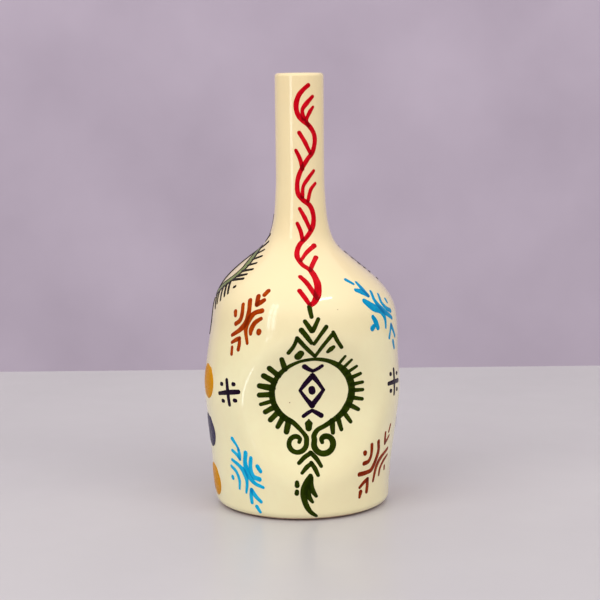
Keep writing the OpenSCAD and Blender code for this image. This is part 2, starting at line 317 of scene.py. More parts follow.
def stroke_mesh(stroke, lift):
    """Closed mesh of one stroke, with its rounded ends; lift stacks it over earlier strokes."""
    p, n, side, d = stroke.frame()
    half = stroke.half
    # Extra sections beyond both ends follow a half circle.
    angles = np.linspace(0, math.pi / 2, 7)[1:]
    narrow = 0.04            # the last section's share of the width, so that it isn't a point

    def cap(k, way, t, share):
        centre = p[k] + way * d[k] * half[k] * math.sin(t)
        return centre, side[k], half[k] * max(math.cos(t), narrow), share

    head = [cap(0, -1, t, 0) for t in angles[::-1]]
    tail = [cap(-1, 1, t, 1) for t in angles]
    body = [(p[k], side[k], half[k], stroke.along[k] / max(stroke.length, 1e-6)) for k in range(len(p))]
    sections = head + body + tail
    centre = np.array([s[0] for s in sections])
    sides = np.array([s[1] for s in sections])
    halves = np.array([s[2] for s in sections])
    share = np.array([s[3] for s in sections])
    across = np.sin(np.linspace(-math.pi / 2, math.pi / 2, TOP_STEPS))
    flat = centre[:, None] + sides[:, None] * (halves[:, None] * across)[..., None]
    z, azimuth = land(flat)
    base, up = surface(z, azimuth), normal(z, azimuth)
    full = np.minimum(halves / stroke.half.mean(), 1.0)
    crown = (1 - across ** 2) ** 0.5
    height = lift + EDGE_UP + stroke.thick * crown[None, :] * full[:, None]
    top = base + up * height[..., None]
    low = base[:, [-1, 0]] - up[:, [-1, 0]] * SINK
    loops = np.concatenate([top, low], 1)
    rows, count = loops.shape[:2]
    verts = loops.reshape(-1, 3)
    faces = []
    for row in range(rows - 1):
        a, b = row * count, (row + 1) * count
        faces += [(a + k, a + (k + 1) % count, b + (k + 1) % count, b + k) for k in range(count)]
    faces.append(tuple(reversed(range(count))))
    faces.append(tuple(range((rows - 1) * count, rows * count)))
    edge = np.concatenate([np.abs(across), [1, 1]])
    attributes = {
        "edge": np.tile(edge, rows),
        "along": np.repeat(share * max(stroke.length, 1.0), count),
        "across": np.tile(np.concatenate([across, [1, -1]]), rows) * np.repeat(halves, count),
        "end": np.repeat(np.abs(share - 0.5) * 2, count),
        "tone": np.full(rows * count, stroke.tone),
    }
    return verts, faces, attributes


def overlap(points, others):
    """How many other strokes lie under each point, with soft edges."""
    total = np.zeros(len(points))
    for other in others:
        centre = surface(other.z, other.azimuth)
        lo, hi = centre.min(0) - 4, centre.max(0) + 4
        near = np.where(((points > lo) & (points < hi)).all(1))[0]
        if len(near) == 0:
            continue
        gap = np.linalg.norm(points[near][:, None] - centre[None], axis=2)
        best = gap.argmin(1)
        depth = other.half[best] - gap[np.arange(len(near)), best]
        total[near] += np.clip(depth / 0.5 + 0.5, 0, 1)
    return total


def painted(name, node, strokes, material):
    """One enamel piece made of all its strokes, which stands for a CAD node."""
    verts, faces, values = [], [], {}
    start = 0
    for k, stroke in enumerate(strokes):
        v, f, attributes = stroke_mesh(stroke, LAYER * (k % 6))
        attributes["dens"] = overlap(v, strokes[:k] + strokes[k + 1:])
        verts.append(v)
        faces += [tuple(i + start for i in face) for face in f]
        start += len(v)
        for key, value in attributes.items():
            values.setdefault(key, []).append(value)
    obj = make_object(name, np.vstack(verts), faces)
    for key, value in values.items():
        layer = obj.data.attributes.new(key, "FLOAT", "POINT")
        layer.data.foreach_set("value", np.concatenate(value).astype(np.float32))
    obj.data.materials.append(material)
    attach(obj, "root")
    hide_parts(node)
    return obj


# ---- Node helpers ----

def new_material(name):
    material = bpy.data.materials.new(name)
    material.use_nodes = True
    tree = material.node_tree
    return material, tree, tree.nodes["Principled BSDF"]


def add(tree, kind, **inputs):
    """A new node with some of its inputs set; an underscore stands for a space in a name."""
    node = tree.nodes.new(kind)
    for key, value in inputs.items():
        node.inputs[key.replace("_", " ")].default_value = value
    return node


def noise(tree, scale, detail, vector=None, rough=0.5):
    node = add(tree, "ShaderNodeTexNoise", Scale=scale, Detail=detail, Roughness=rough)
    if vector is None:
        coord = tree.nodes.new("ShaderNodeTexCoord")
        vector = coord.outputs["Object"]
    tree.links.new(vector, node.inputs["Vector"])
    return node.outputs["Fac"]


def attribute(tree, name):
    """A number that the mesh stores at each of its points."""
    node = tree.nodes.new("ShaderNodeAttribute")
    node.attribute_name = name
    return node.outputs["Fac"]


def maths(tree, operation, a, b=0.0, clamp=False):
    node = tree.nodes.new("ShaderNodeMath")
    node.operation = operation
    node.use_clamp = clamp
    for socket, value in zip(node.inputs, (a, b)):
        if isinstance(value, (int, float)):
            socket.default_value = value
        else:
            tree.links.new(value, socket)
    return node.outputs["Value"]


def spread(tree, value, low, high, to_low=0.0, to_high=1.0):
    """The value moved from the range low to high into another range, and held inside it."""
    node = add(tree, "ShaderNodeMapRange")
    node.inputs["From Min"].default_value = low
    node.inputs["From Max"].default_value = high
    node.inputs["To Min"].default_value = to_low
    node.inputs["To Max"].default_value = to_high
    tree.links.new(value, node.inputs["Value"])
    return node.outputs["Result"]


def blend_colours(tree, factor, a, b):
    node = tree.nodes.new("ShaderNodeMix")
    node.data_type = "RGBA"
    # A Mix node's colours go in at sockets 6 and 7, and come out at 2.
    for socket, value in ((node.inputs[0], factor), (node.inputs[6], a), (node.inputs[7], b)):
        if isinstance(value, float):
            socket.default_value = value
        elif isinstance(value, tuple):
            socket.default_value = (*value, 1.0)
        else:
            tree.links.new(value, socket)
    return node.outputs[2]


def bump(tree, height, strength, distance, shader):
    node = add(tree, "ShaderNodeBump", Strength=strength, Distance=distance)
    tree.links.new(height, node.inputs["Height"])
    tree.links.new(node.outputs["Normal"], shader.inputs["Normal"])


def linear(r, g, b):
    """Linear colour of an 8-bit screen colour."""
    def channel(c):
        c /= 255
        return c / 12.92 if c <= 0.04045 else ((c + 0.055) / 1.055) ** 2.4
    return channel(r), channel(g), channel(b)


# ---- Materials ----

def glaze_material():
    """Ivory gloss glaze: faint clouds, a warmer shoulder and neck, iron specks and a slight ripple."""
    material, tree, shader = new_material("ivory_glaze")
    coord = tree.nodes.new("ShaderNodeTexCoord")
    split = tree.nodes.new("ShaderNodeSeparateXYZ")
    tree.links.new(coord.outputs["Object"], split.inputs[0])
    raised = spread(tree, split.outputs["Z"], 0.09, 0.15)
    clouds = spread(tree, noise(tree, 14, 3), 0.35, 0.68)
    fine = spread(tree, noise(tree, 160, 2), 0.3, 0.7)
    colour = blend_colours(tree, raised, linear(245, 238, 193), linear(248, 229, 182))
    cloudy = blend_colours(tree, raised, linear(244, 232, 186), linear(244, 222, 174))
    colour = blend_colours(tree, clouds, colour, cloudy)
    colour = blend_colours(tree, maths(tree, "MULTIPLY", fine, 0.25), colour, linear(241, 224, 180))
    speck = spread(tree, noise(tree, 330, 1), 0.775, 0.80)
    rare = spread(tree, noise(tree, 26, 1), 0.58, 0.64)
    colour = blend_colours(tree, maths(tree, "MULTIPLY", speck, rare), colour, linear(150, 112, 78))
    tree.links.new(colour, shader.inputs["Base Color"])
    rough = spread(tree, noise(tree, 60, 2), 0.3, 0.7, 0.09, 0.13)
    tree.links.new(rough, shader.inputs["Roughness"])
    shader.inputs["Coat Weight"].default_value = 0.5
    shader.inputs["Coat Roughness"].default_value = 0.03
    bump(tree, noise(tree, 90, 2), 0.10, 0.0006, shader)
    return material


def clay_material():
    """Bare pinkish earthenware: matt, with fine grog and grey scuffs."""
    material, tree, shader = new_material("bare_clay")
    grog = noise(tree, 900, 3)
    stain = spread(tree, noise(tree, 45, 3), 0.35, 0.65)
    colour = blend_colours(tree, stain, linear(222, 186, 160), linear(205, 164, 138))
    colour = blend_colours(tree, spread(tree, grog, 0.55, 0.7), colour, linear(176, 138, 116))
    tree.links.new(colour, shader.inputs["Base Color"])
    tree.links.new(spread(tree, grog, 0.3, 0.7, 0.75, 0.92), shader.inputs["Roughness"])
    bump(tree, grog, 0.5, 0.0003, shader)
    return material


def enamel_material(name, thin, body, heavy, gloss=0.14):
    """Brushed enamel: its thin colour shows in streaks and at the edges, its heavy one at overlaps."""
    material, tree, shader = new_material(name)
    joined = tree.nodes.new("ShaderNodeCombineXYZ")
    tree.links.new(maths(tree, "MULTIPLY", attribute(tree, "along"), 0.16), joined.inputs[0])
    tree.links.new(maths(tree, "MULTIPLY", attribute(tree, "across"), 1.5), joined.inputs[1])
    tree.links.new(maths(tree, "MULTIPLY", attribute(tree, "tone"), 40.0), joined.inputs[2])
    hairs = noise(tree, 1.0, 3, joined.outputs[0])
    cloud = noise(tree, 210, 2)
    load = maths(tree, "MULTIPLY", maths(tree, "ADD", hairs, cloud), 0.5)
    load = spread(tree, load, 0.36, 0.62)
    ends = maths(tree, "POWER", attribute(tree, "end"), 6.0)
    load = maths(tree, "ADD", load, maths(tree, "MULTIPLY", ends, 0.35), clamp=True)
    colour = blend_colours(tree, load, thin, body)
    rim = maths(tree, "POWER", attribute(tree, "edge"), 5.0)
    colour = blend_colours(tree, maths(tree, "MULTIPLY", rim, 0.35), colour, thin)
    double = maths(tree, "MULTIPLY", attribute(tree, "dens"), 0.85, clamp=True)
    colour = blend_colours(tree, double, colour, heavy)
    tree.links.new(colour, shader.inputs["Base Color"])
    tree.links.new(spread(tree, cloud, 0.3, 0.7, 0.22, 0.32), shader.inputs["Roughness"])
    shader.inputs["Coat Weight"].default_value = 0.03
    shader.inputs["Coat Roughness"].default_value = 0.08
    shader.inputs["Specular IOR Level"].default_value = gloss
    tint = [0.08 + 0.92 * c / max(body) for c in body]
    shader.inputs["Specular Tint"].default_value = (*tint, 1.0)
    bump(tree, hairs, 0.25, 0.00025, shader)
    return material


GLAZE = glaze_material()
CLAY = clay_material()
RED = enamel_material("red_enamel", linear(212, 16, 34), linear(184, 0, 18), linear(118, 0, 8))
GREEN = enamel_material("green_enamel", linear(44, 57, 5), linear(26, 38, 0), linear(16, 26, 0))
PURPLE = enamel_material("purple_enamel", linear(28, 13, 34), linear(13, 3, 17), linear(6, 1, 9))
BROWN = enamel_material("brown_enamel", linear(178, 72, 8), linear(150, 44, 0), linear(116, 28, 0))
# The lower right star's brown is a darker copy of the same brown enamel: painted shade on the darker right
# side of the vase.
SHADED_BROWN = enamel_material("brown_enamel_shaded_copy", linear(146, 52, 12), linear(120, 30, 0), linear(84, 14, 0))
# The upper right and lower left stars share one blue enamel. The darker copy for the upper right star is
# painted shade, and the paler copy for the lower left star is painted light.
BLUE = enamel_material("blue_enamel", linear(12, 156, 202), linear(0, 136, 188), linear(0, 104, 162))
LIT_BLUE = enamel_material(
    "blue_enamel_lit_copy", linear(40, 184, 226), linear(0, 164, 214), linear(0, 126, 190))
OCHRE = enamel_material(
    "ochre_enamel", linear(212, 146, 0), linear(205, 137, 0), linear(186, 116, 0), gloss=0.04)
NAVY = enamel_material(
    "navy_enamel", linear(70, 64, 94), linear(48, 41, 70), linear(30, 24, 52), gloss=0.08)
OLIVE = enamel_material("olive_enamel", linear(136, 146, 92), linear(108, 122, 66), linear(84, 100, 44))
BLACK = enamel_material("black_enamel", linear(26, 20, 12), linear(10, 8, 4), linear(4, 3, 2))


# ---- Drawings: x across to the viewer's right, z the height, in millimetres ----

# The vine's stem winds down the neck, and its leaves follow as (points, widths).
STEM = [(3.4, 252.8), (0.5, 250.4), (-2.4, 246.8), (-3.9, 241.5), (-3.2, 236.5), (-0.6, 232.6), (3.6, 229.2),
        (6.6, 224.5), (7.2, 219.5), (5.6, 213.5), (2.4, 209.4), (-1.4, 203.2), (-3.6, 196.5), (-3.4, 189.5),
        (-0.8, 185.8), (3.6, 182.0), (5.7, 176.0), (4.9, 169.4), (1.1, 163.8), (-3.4, 159.3), (-5.1, 153.8),
        (-2.7, 149.2), (2.0, 145.8), (4.2, 140.2), (3.2, 134.8), (0.3, 130.2), (-3.1, 127.8)]

VINE_LEAVES = [
    ([(6.0, 246.2), (2.4, 242.4), (-0.3, 238.4), (0.4, 233.4)], [2.2, 2.9, 2.2, 2.8]),
    ([(6.2, 240.0), (4.2, 237.2), (2.1, 232.6), (3.2, 229.4)], [1.8, 2.6, 2.2, 2.6]),
    ([(-2.3, 225.2), (0.9, 219.8), (4.2, 213.0)], [2.4, 2.8, 2.2]),
    ([(-4.3, 214.8), (-1.9, 209.5), (-0.6, 203.8)], [2.2, 2.6, 2.4]),
    ([(6.3, 202.5), (2.8, 198.2), (-0.2, 193.6), (-0.9, 187.4)], [2.0, 2.6, 2.2, 2.4]),
    ([(7.2, 195.0), (4.2, 191.2), (2.4, 184.6)], [2.0, 2.6, 2.2]),
    ([(-2.6, 180.4), (0.4, 174.8), (3.4, 168.0)], [2.2, 2.8, 2.4]),
    ([(-4.2, 171.8), (-2.4, 167.2), (-1.4, 162.2)], [2.2, 2.6, 2.6]),
    ([(5.5, 158.8), (0.6, 155.2), (-3.2, 151.0)], [3.2, 2.6, 2.2]),
    ([(6.1, 152.6), (3.2, 148.6), (1.6, 145.8)], [3.0, 2.8, 2.6]),
    ([(-4.9, 143.0), (-1.7, 139.4), (2.0, 131.6)], [2.8, 3.0, 3.0]),
    ([(-7.1, 135.8), (-4.8, 131.6), (-3.1, 128.2)], [3.0, 2.8, 2.6])]


def vine_strokes(turn):
    wide = [2.9, 2.6, 3.0, 3.2, 3.0, 2.8, 3.0, 3.4, 3.3, 3.0, 2.8, 2.8, 2.9, 3.0,
            2.8, 3.0, 3.3, 3.2, 2.8, 3.0, 3.2, 3.0, 3.6, 4.4, 4.4, 3.8, 2.8]
    return [Stroke(turn, STEM, wide)] + [Stroke(turn, p, w) for p, w in VINE_LEAVES]


def crown_strokes(turn):
    lines = [
        ([(-2.1, 127.2), (-2.0, 124.4), (-1.7, 121.8)], [2.5]),
        ([(-5.7, 119.2), (-2.2, 113.8)], [2.4, 2.8]),
        ([(2.0, 120.3), (-1.4, 113.9)], [2.4, 2.6]),
        ([(-8.0, 114.2), (-5.2, 110.8), (-2.0, 106.6)], [2.9, 2.9, 2.4]),
        ([(6.4, 115.8), (2.8, 111.0), (-0.4, 106.0)], [2.4, 2.2, 2.0]),
        ([(-14.7, 100.8), (-12.2, 104.6), (-10.4, 109.4)], [2.3, 2.1, 2.0]),
        ([(-10.4, 109.6), (-5.6, 104.4), (0.4, 98.6)], [2.5, 2.6, 2.2]),
        ([(9.6, 110.8), (5.6, 105.6), (1.0, 98.2)], [2.4, 2.2, 2.0]),
        ([(10.4, 112.4), (12.8, 107.8), (16.0, 103.2)], [2.3, 2.4, 2.0])]
    strokes = [Stroke(turn, p, np.array(w) + 0.2) for p, w in lines]
    strokes.append(Stroke(turn, [(-8.9, 98.4), (-7.6, 100.2)], [4.4, 4.2]))
    strokes.append(Stroke(turn, [(8.2, 100.8), (9.8, 102.4), (11.2, 103.6)], [2.2, 3.4, 2.4]))
    return strokes


MEDAL = (0.5, 76.0)      # middle of the ring round the sign
MEDAL_RX, MEDAL_RZ = 23.5, 20.4


def medal_point(angle, reach=0.0):
    """Point of the ring at an angle from the viewer's right, moved out by reach."""
    c, s = math.cos(math.radians(angle)), math.sin(math.radians(angle))
    return MEDAL[0] + (MEDAL_RX + reach) * c, MEDAL[1] + (MEDAL_RZ + reach * 0.95) * s


def scroll(centre, size, start, sweep):
    """Points of a spiral that winds in to its centre."""
    out = []
    for s in np.linspace(0, 1, 12):
        r = size * math.sqrt(1 - 0.95 * s * s)
        t = math.radians(start + sweep * s)
        out.append((centre[0] + r * math.cos(t), centre[1] + r * math.sin(t)))
    return out


def medallion_strokes(turn):
    left_arc = [medal_point(a) for a in (98, 112, 128, 144, 160, 176, 194, 212, 228, 242)]
    left = left_arc + [(-5.6, 52.8), (-3.3, 49.6)] + scroll((-8.6, 46.4), 5.6, 8, -350)
    right_arc = [medal_point(a) for a in (104, 90, 76, 62, 46, 30, 14, -2, -18, -34, -48, -58)]
    right = right_arc + [(7.8, 55.6), (3.5, 53.4), (1.4, 50.2)] + scroll((7.4, 45.6), 6.2, 160, 355)
    left_wide = [1.9, 2.1, 2.5, 3.1, 3.6, 3.6, 3.4, 3.6, 3.5, 3.1, 2.6, 2.9]
    left_wide += [3.0] * 10 + [2.8, 2.4]
    right_wide = [2.1, 2.3, 2.6, 3.1, 3.8, 4.2, 4.4, 4.4, 4.5, 4.4, 3.6, 3.0, 2.8, 3.0, 3.3]
    right_wide += [3.6] * 10 + [3.2, 2.6]
    strokes = [Stroke(turn, left, left_wide), Stroke(turn, right, right_wide)]
    # Spikes as (angle on the ring, length, width, lean): blunt on the left, thin on the right.
    left_spikes = [(134, 6.6, 3.0, -14), (148, 7.2, 3.2, -6), (160, 7.4, 3.2, -8), (171, 7.6, 3.4, -2),
                   (182, 7.2, 3.2, 0), (193, 7.4, 2.2, 2), (203, 6.6, 3.0, 4), (213, 6.8, 3.0, 8),
                   (224, 6.8, 3.0, 10), (234, 6.6, 3.4, 14)]
    right_spikes = [(52, 6.8, 1.9, 2), (42, 7.4, 2.0, 4), (32, 7.2, 2.2, 2), (21, 7.0, 2.6, 2),
                    (10, 6.8, 2.4, 0), (0, 6.6, 2.6, 0), (-12, 7.0, 2.6, 0), (-24, 7.0, 2.8, -4),
                    (-38, 7.6, 2.8, -12), (-50, 7.6, 2.8, -16), (-60, 6.8, 3.0, -16)]
    for angle, length, width, lean in left_spikes + right_spikes:
        root, tip = medal_point(angle), medal_point(angle + lean * 0.4, length)
        narrow = 0.85 if angle > 90 else 0.7
        strokes.append(Stroke(turn, [root, tip], [width * 1.15, width * narrow * 1.22]))
    strokes.append(Stroke(turn, [(-1.5, 59.6), (-1.6, 57.6), (-1.7, 54.6)], [1.0, 4.6, 3.8]))
    return strokes


def tail_strokes(turn):
    lines = [
        ([(-9.6, 35.0), (-6.2, 38.2), (-2.4, 40.4)], [2.4, 2.9, 2.6]),
        ([(-2.8, 40.6), (0.6, 37.2), (3.4, 32.8)], [2.6, 2.9, 2.2]),
        ([(-7.9, 29.4), (-5.2, 32.4), (-2.2, 34.6)], [2.2, 2.9, 2.6]),
        ([(-2.4, 34.8), (-0.2, 31.4), (1.5, 27.8)], [2.7, 2.8, 2.2]),
        ([(-3.0, 27.6), (-4.6, 24.4), (-6.4, 20.4), (-6.9, 15.6), (-5.8, 10.6), (-3.4, 6.2), (0.0, 3.4)],
         [2.8, 4.2, 4.8, 4.2, 3.4, 2.8, 1.9]),
        ([(-2.6, 26.6), (-3.0, 22.4), (-1.6, 18.6), (0.3, 15.6)], [2.8, 4.0, 3.0, 2.0]),
        ([(-4.6, 20.6), (-4.4, 16.6), (-3.0, 13.6), (-1.9, 12.0)], [3.6, 3.4, 2.6, 1.8])]
    strokes = [Stroke(turn, p, w) for p, w in lines]
    strokes.append(Stroke(turn, [(-10.9, 24.0), (-10.8, 22.2)], [2.6, 3.0]))
    strokes.append(Stroke(turn, [(-10.9, 18.6), (-11.0, 17.4)], [2.7, 2.9]))
    return strokes


def sign_strokes(turn):
    """A plain lozenge with a dot, between two chevrons, in place of the original's letter."""
    lines = [
        ([(-6.6, 77.4), (-3.2, 81.8), (0.4, 86.0)], [2.0, 3.0, 3.4]),
        ([(0.4, 86.2), (3.8, 82.0), (7.2, 77.0)], [3.4, 2.4, 2.0]),
        ([(7.2, 77.2), (4.0, 72.6), (0.5, 68.2)], [2.0, 3.0, 3.6]),
        ([(0.5, 68.0), (-3.2, 72.4), (-6.6, 77.2)], [3.4, 2.4, 2.0]),
        ([(-4.6, 92.0), (-2.0, 90.2), (0.6, 89.0)], [3.0, 2.6, 2.2]),
        ([(0.4, 89.0), (3.0, 90.2), (5.6, 92.0)], [2.2, 2.2, 2.4]),
        ([(-4.6, 61.8), (-2.0, 63.6), (0.4, 65.0)], [2.2, 2.4, 2.2]),
        ([(0.5, 65.0), (3.0, 63.6), (5.8, 61.8)], [2.2, 2.8, 3.2])]
    strokes = [Stroke(turn, p, w) for p, w in lines]
    strokes.append(Stroke(turn, [(0.2, 77.9), (0.5, 76.5)], [4.0, 4.0]))
    return strokes


# The four corner stars. Each is a flat drawing that faces its own turn from the middle of the face,
# with its strokes' widths scaled by the second number.
STARS = {
    "star_upper_left": (-44, 1.15, [
        ([(-0.2, 129.6), (0.2, 124.0), (-1.2, 117.4), (-5.8, 112.6), (-12.0, 108.8)],
         [2.7, 2.7, 3.4, 2.6, 2.0]),
        ([(9.0, 124.6), (4.0, 122.8), (0.2, 118.2), (-1.4, 112.8), (0.6, 105.4)], [2.7, 2.6, 3.2, 2.6, 1.7]),
        ([(-4.9, 127.0), (-4.8, 122.0), (-6.2, 118.0), (-9.6, 115.6)], [2.3, 2.5, 2.5, 2.5]),
        ([(8.8, 120.2), (4.8, 117.4), (2.5, 113.4), (2.3, 111.0)], [2.0, 2.6, 2.6, 2.0]),
        ([(4.9, 132.2), (5.0, 130.0), (5.2, 127.9)], [2.7, 2.6, 2.8]),
        ([(5.4, 128.0), (7.2, 129.0), (9.2, 130.4)], [2.7, 2.6, 2.2]),
        ([(8.6, 133.3), (10.2, 135.4)], [2.6, 2.4]),
        ([(-11.4, 104.6), (-8.4, 106.4), (-5.6, 107.6)], [1.9, 2.4, 2.4]),
        ([(-5.6, 107.4), (-5.2, 104.4), (-5.5, 101.2)], [2.2, 2.3, 2.4]),
        ([(-10.7, 101.8), (-10.5, 98.0)], [2.0, 2.0]),
        ([(-10.4, 122.5), (-10.2, 120.6)], [2.7, 2.4]),
        ([(7.9, 112.8), (7.7, 112.0)], [3.0, 2.8])]),
    "star_upper_right": (48, 1.25, [
        ([(-0.4, 132.2), (-2.0, 127.2), (2.0, 121.4), (12.4, 115.2)], [1.9, 2.4, 3.4, 1.9]),
        ([(-10.8, 127.8), (-6.4, 124.0), (-0.6, 121.4), (2.6, 116.6), (2.6, 111.0)],
         [3.0, 4.4, 3.4, 2.6, 1.6]),
        ([(5.4, 130.0), (3.8, 125.8), (6.8, 122.0), (12.0, 119.6)], [1.6, 2.2, 2.3, 2.5]),
        ([(-9.0, 118.6), (-7.2, 115.4), (-5.8, 112.0)], [2.2, 3.0, 2.6]),
        ([(-12.1, 140.0), (-9.8, 137.6)], [2.0, 1.7]),
        ([(-6.4, 138.0), (-6.2, 134.6), (-5.4, 130.6)], [1.7, 2.4, 2.2]),
        ([(-11.6, 134.2), (-8.6, 133.0), (-5.6, 130.6)], [2.3, 3.2, 2.4]),
        ([(6.6, 104.4), (8.2, 108.0), (10.0, 111.4)], [2.0, 1.8, 2.2]),
        ([(10.1, 111.2), (12.8, 107.8), (16.0, 103.8)], [2.2, 2.0, 1.8]),
        ([(12.1, 101.4), (14.2, 97.2)], [2.0, 2.0]),
        ([(10.8, 126.4), (11.1, 124.8)], [1.7, 1.6]),
        ([(-10.8, 112.2), (-9.6, 113.0)], [2.8, 2.6])]),
    "star_lower_left": (-46, 1.15, [
        ([(1.5, 39.8), (0.8, 33.8), (2.4, 28.0), (6.6, 22.4), (12.6, 20.0)], [2.6, 2.9, 3.6, 2.6, 1.7]),
        ([(-9.7, 33.8), (-4.0, 31.2), (0.2, 27.4), (1.6, 21.6), (0.6, 15.4)], [1.9, 2.4, 3.6, 2.2, 1.5]),
        ([(5.2, 37.2), (4.6, 31.2), (6.4, 26.2), (10.4, 24.8)], [2.1, 2.4, 2.6, 2.8]),
        ([(-10.7, 29.7), (-6.6, 27.0), (-4.3, 22.2), (-4.6, 16.9)], [1.8, 2.0, 1.9, 1.6]),
        ([(-8.6, 47.0), (-5.4, 43.6), (-3.6, 41.0)], [2.4, 1.8, 1.6]),
        ([(-4.2, 41.8), (-3.4, 38.4), (-3.1, 35.3)], [1.6, 2.4, 1.9]),
        ([(-9.2, 39.7), (-6.0, 38.0), (-3.2, 35.4)], [1.9, 2.2, 1.9]),
        ([(4.2, 9.8), (4.0, 13.8), (4.6, 17.6)], [2.3, 2.3, 2.3]),
        ([(4.7, 17.4), (7.2, 14.0), (10.5, 11.0)], [2.6, 2.4, 2.0]),
        ([(7.4, 7.6), (9.3, 4.6)], [2.3, 1.7]),
        ([(9.4, 32.5), (11.3, 29.8)], [2.4, 2.2]),
        ([(-10.0, 23.1), (-9.8, 22.5)], [2.4, 2.2])]),
    "star_lower_right": (44, 1.15, [
        ([(0.8, 43.2), (1.6, 36.4), (-2.6, 27.4), (-7.2, 25.8), (-13.0, 25.6)], [2.6, 2.6, 2.8, 2.4, 2.6]),
        ([(13.8, 36.2), (5.6, 32.4), (1.6, 27.6), (-0.4, 19.2)], [2.0, 2.8, 2.6, 1.8]),
        ([(-5.1, 42.4), (-5.0, 36.2), (-6.8, 32.6), (-10.2, 31.8)], [2.1, 2.1, 2.4, 2.4]),
        ([(14.6, 32.0), (9.8, 29.6), (6.2, 25.8), (5.5, 21.6)], [1.5, 2.0, 2.0, 1.5]),
        ([(14.0, 51.0), (12.5, 47.0)], [1.4, 1.4]),
        ([(7.9, 47.2), (8.2, 43.8), (8.8, 40.7)], [1.8, 2.0, 2.2]),
        ([(8.9, 40.8), (11.2, 42.2), (13.6, 44.2)], [2.0, 1.8, 1.5]),
        ([(-11.9, 17.4), (-9.0, 19.8), (-6.1, 21.4)], [1.9, 2.3, 2.3]),
        ([(-6.0, 21.4), (-5.8, 17.6), (-6.1, 13.7)], [2.2, 2.2, 2.2]),
        ([(-11.1, 14.4), (-11.8, 11.4)], [2.6, 1.8]),
        ([(-9.9, 38.3), (-9.9, 37.7)], [2.6, 2.4]),
        ([(12.0, 25.6), (12.3, 23.8)], [1.8, 1.7])]),
}


def star_strokes(name, turn):
    view, fullness, lines = STARS[name]
    return [Stroke(turn + view, p, np.array(w) * fullness) for p, w in lines]


def cross_strokes(turn, centre, tilt):
    """Two bars and a dot in each quarter."""
    c, s = math.cos(math.radians(tilt)), math.sin(math.radians(tilt))

    def at(x, z):
        return centre[0] + x * c - z * s, centre[1] + x * s + z * c
    lines = [([at(-8.6, -0.6), at(0, 0), at(8.6, 0.2)], [2.4, 3.1, 2.7]),
             ([at(-0.4, 7.2), at(0, 0), at(0.2, -7.2)], [2.7, 3.0, 2.6])]
    strokes = [Stroke(turn, p, w) for p, w in lines]
    for x, z in ((-5.4, 5.0), (5.4, 4.8), (-5.2, -5.0), (5.4, -4.8)):
        strokes.append(Stroke(turn, [at(x - 0.5, z), at(x + 0.5, z - 0.1)], [2.6, 2.4]))
    return strokes


# The middle of a shoulder ring's band, as (round the vase, up its slope): a leaning oval.
RING_LINE = [(-5.0, 17.5), (0.5, 12.9), (5.0, 7.6), (8.0, 1.9), (7.2, -5.2), (3.2, -10.6), (-2.3, -15.0),
             (-7.5, -19.2), (-11.0, -15.5), (-10.2, -5.0), (-9.6, 5.0), (-8.2, 14.0), (-5.0, 17.5),
             (0.5, 12.9)]


def beside(points, gap):
    """The line moved to its left by a gap."""
    line = catmull(points, 4)
    d = np.gradient(line, axis=0)
    d /= np.linalg.norm(d, axis=1, keepdims=True)
    return line + gap * np.stack([-d[:, 1], d[:, 0]], -1)


def side_strokes(turn, flip, lines, thick):
    """Strokes on the shoulder; flip is -1 where the drawing is mirrored."""
    return [Stroke(turn, np.array(p, float) * (flip, 1), w, thick=thick, place=on_shoulder)
            for p, w in lines]


def band_strokes(turn, flip):
    wide = [3.2, 3.8, 4.3, 4.6, 4.9, 5.0, 4.6, 4.0, 3.0, 2.6, 2.6, 2.6, 3.0, 3.6]
    return side_strokes(turn, flip, [(RING_LINE, wide)], BAND_PAINT)


def outline_strokes(turn, flip):
    """Thin lines along both edges of the band, spikes round it, and lines above and below it."""
    lines = [(beside(RING_LINE, 2.5), [1.6]), (beside(RING_LINE, -2.3), [1.3])]
    lines += [
        ([(-5.2, 23.9), (-0.3, 28.3)], [2.3, 1.9]), ([(-0.8, 19.4), (2.9, 23.9)], [2.3, 1.9]),
        ([(2.5, 14.6), (5.8, 18.2)], [2.2, 1.8]), ([(6.4, 9.8), (10.8, 13.4)], [2.2, 1.8]),
        ([(9.0, 4.8), (14.0, 7.6)], [2.1, 1.8]), ([(10.0, -0.2), (17.3, 2.5)], [2.2, 1.8]),
        ([(9.8, -4.8), (17.2, -1.9)], [2.2, 1.8]), ([(9.4, -7.8), (18.4, -5.5)], [2.2, 1.8]),
        ([(7.8, -9.6), (13.9, -17.3)], [2.3, 1.8]), ([(5.2, -12.0), (11.2, -19.6)], [2.3, 1.8]),
        ([(2.0, -14.4), (7.8, -22.8)], [2.3, 1.8]), ([(-1.0, -18.0), (3.3, -25.4)], [2.3, 1.8]),
        ([(-4.6, -20.2), (1.5, -28.8)], [2.3, 1.8])]
    lines += [([(-11.5, y), (-16.5, y * 1.1)], [1.8, 1.4]) for y in (16, 10, 4, -2, -8, -14)]
    lines += [
        ([(16.4, -12.5), (17.2, -11.9)], [1.9]),
        ([(-5.0, 40), (-6.4, 34), (-7.2, 28)], [1.0, 1.4, 1.4]),
        ([(-9.0, -24), (-9.6, -34), (-9.4, -46)], [1.3, 1.7, 1.1])]
    return side_strokes(turn, flip, lines, OUTLINE_PAINT)


def dot_strokes(turn, spots):
    """Round dots pressed on with a loaded brush, each at (across, height)."""
    wide = [18.6, 20.2, 18.8]
    return [Stroke(turn, [(x - 1.2, z + 0.8), (x + 0.3, z), (x + 1.4, z - 0.9)], wide, thick=DOT_PAINT)
            for x, z in spots]


# ---- The pieces ----

MIDDLE_TURN = -1.6       # the crown, medallion and sign sit a little to the left of the dimple's middle
TAIL_TURN = 0.6          # and the tail a little to its right
# The crosses as (name, turn from the middle of the face, centre, tilt in degrees).
CROSSES = [("cross_left", -54, (-1.2, 75.2), 8), ("cross_right", 58, (1.6, 77.0), -6)]
# The sides as (name, turn of the ring, -1 where it is mirrored, turn of the dots).
SIDES = [("left", -77.0, 1, -75.0), ("right", 117.0, -1, 100.0)]
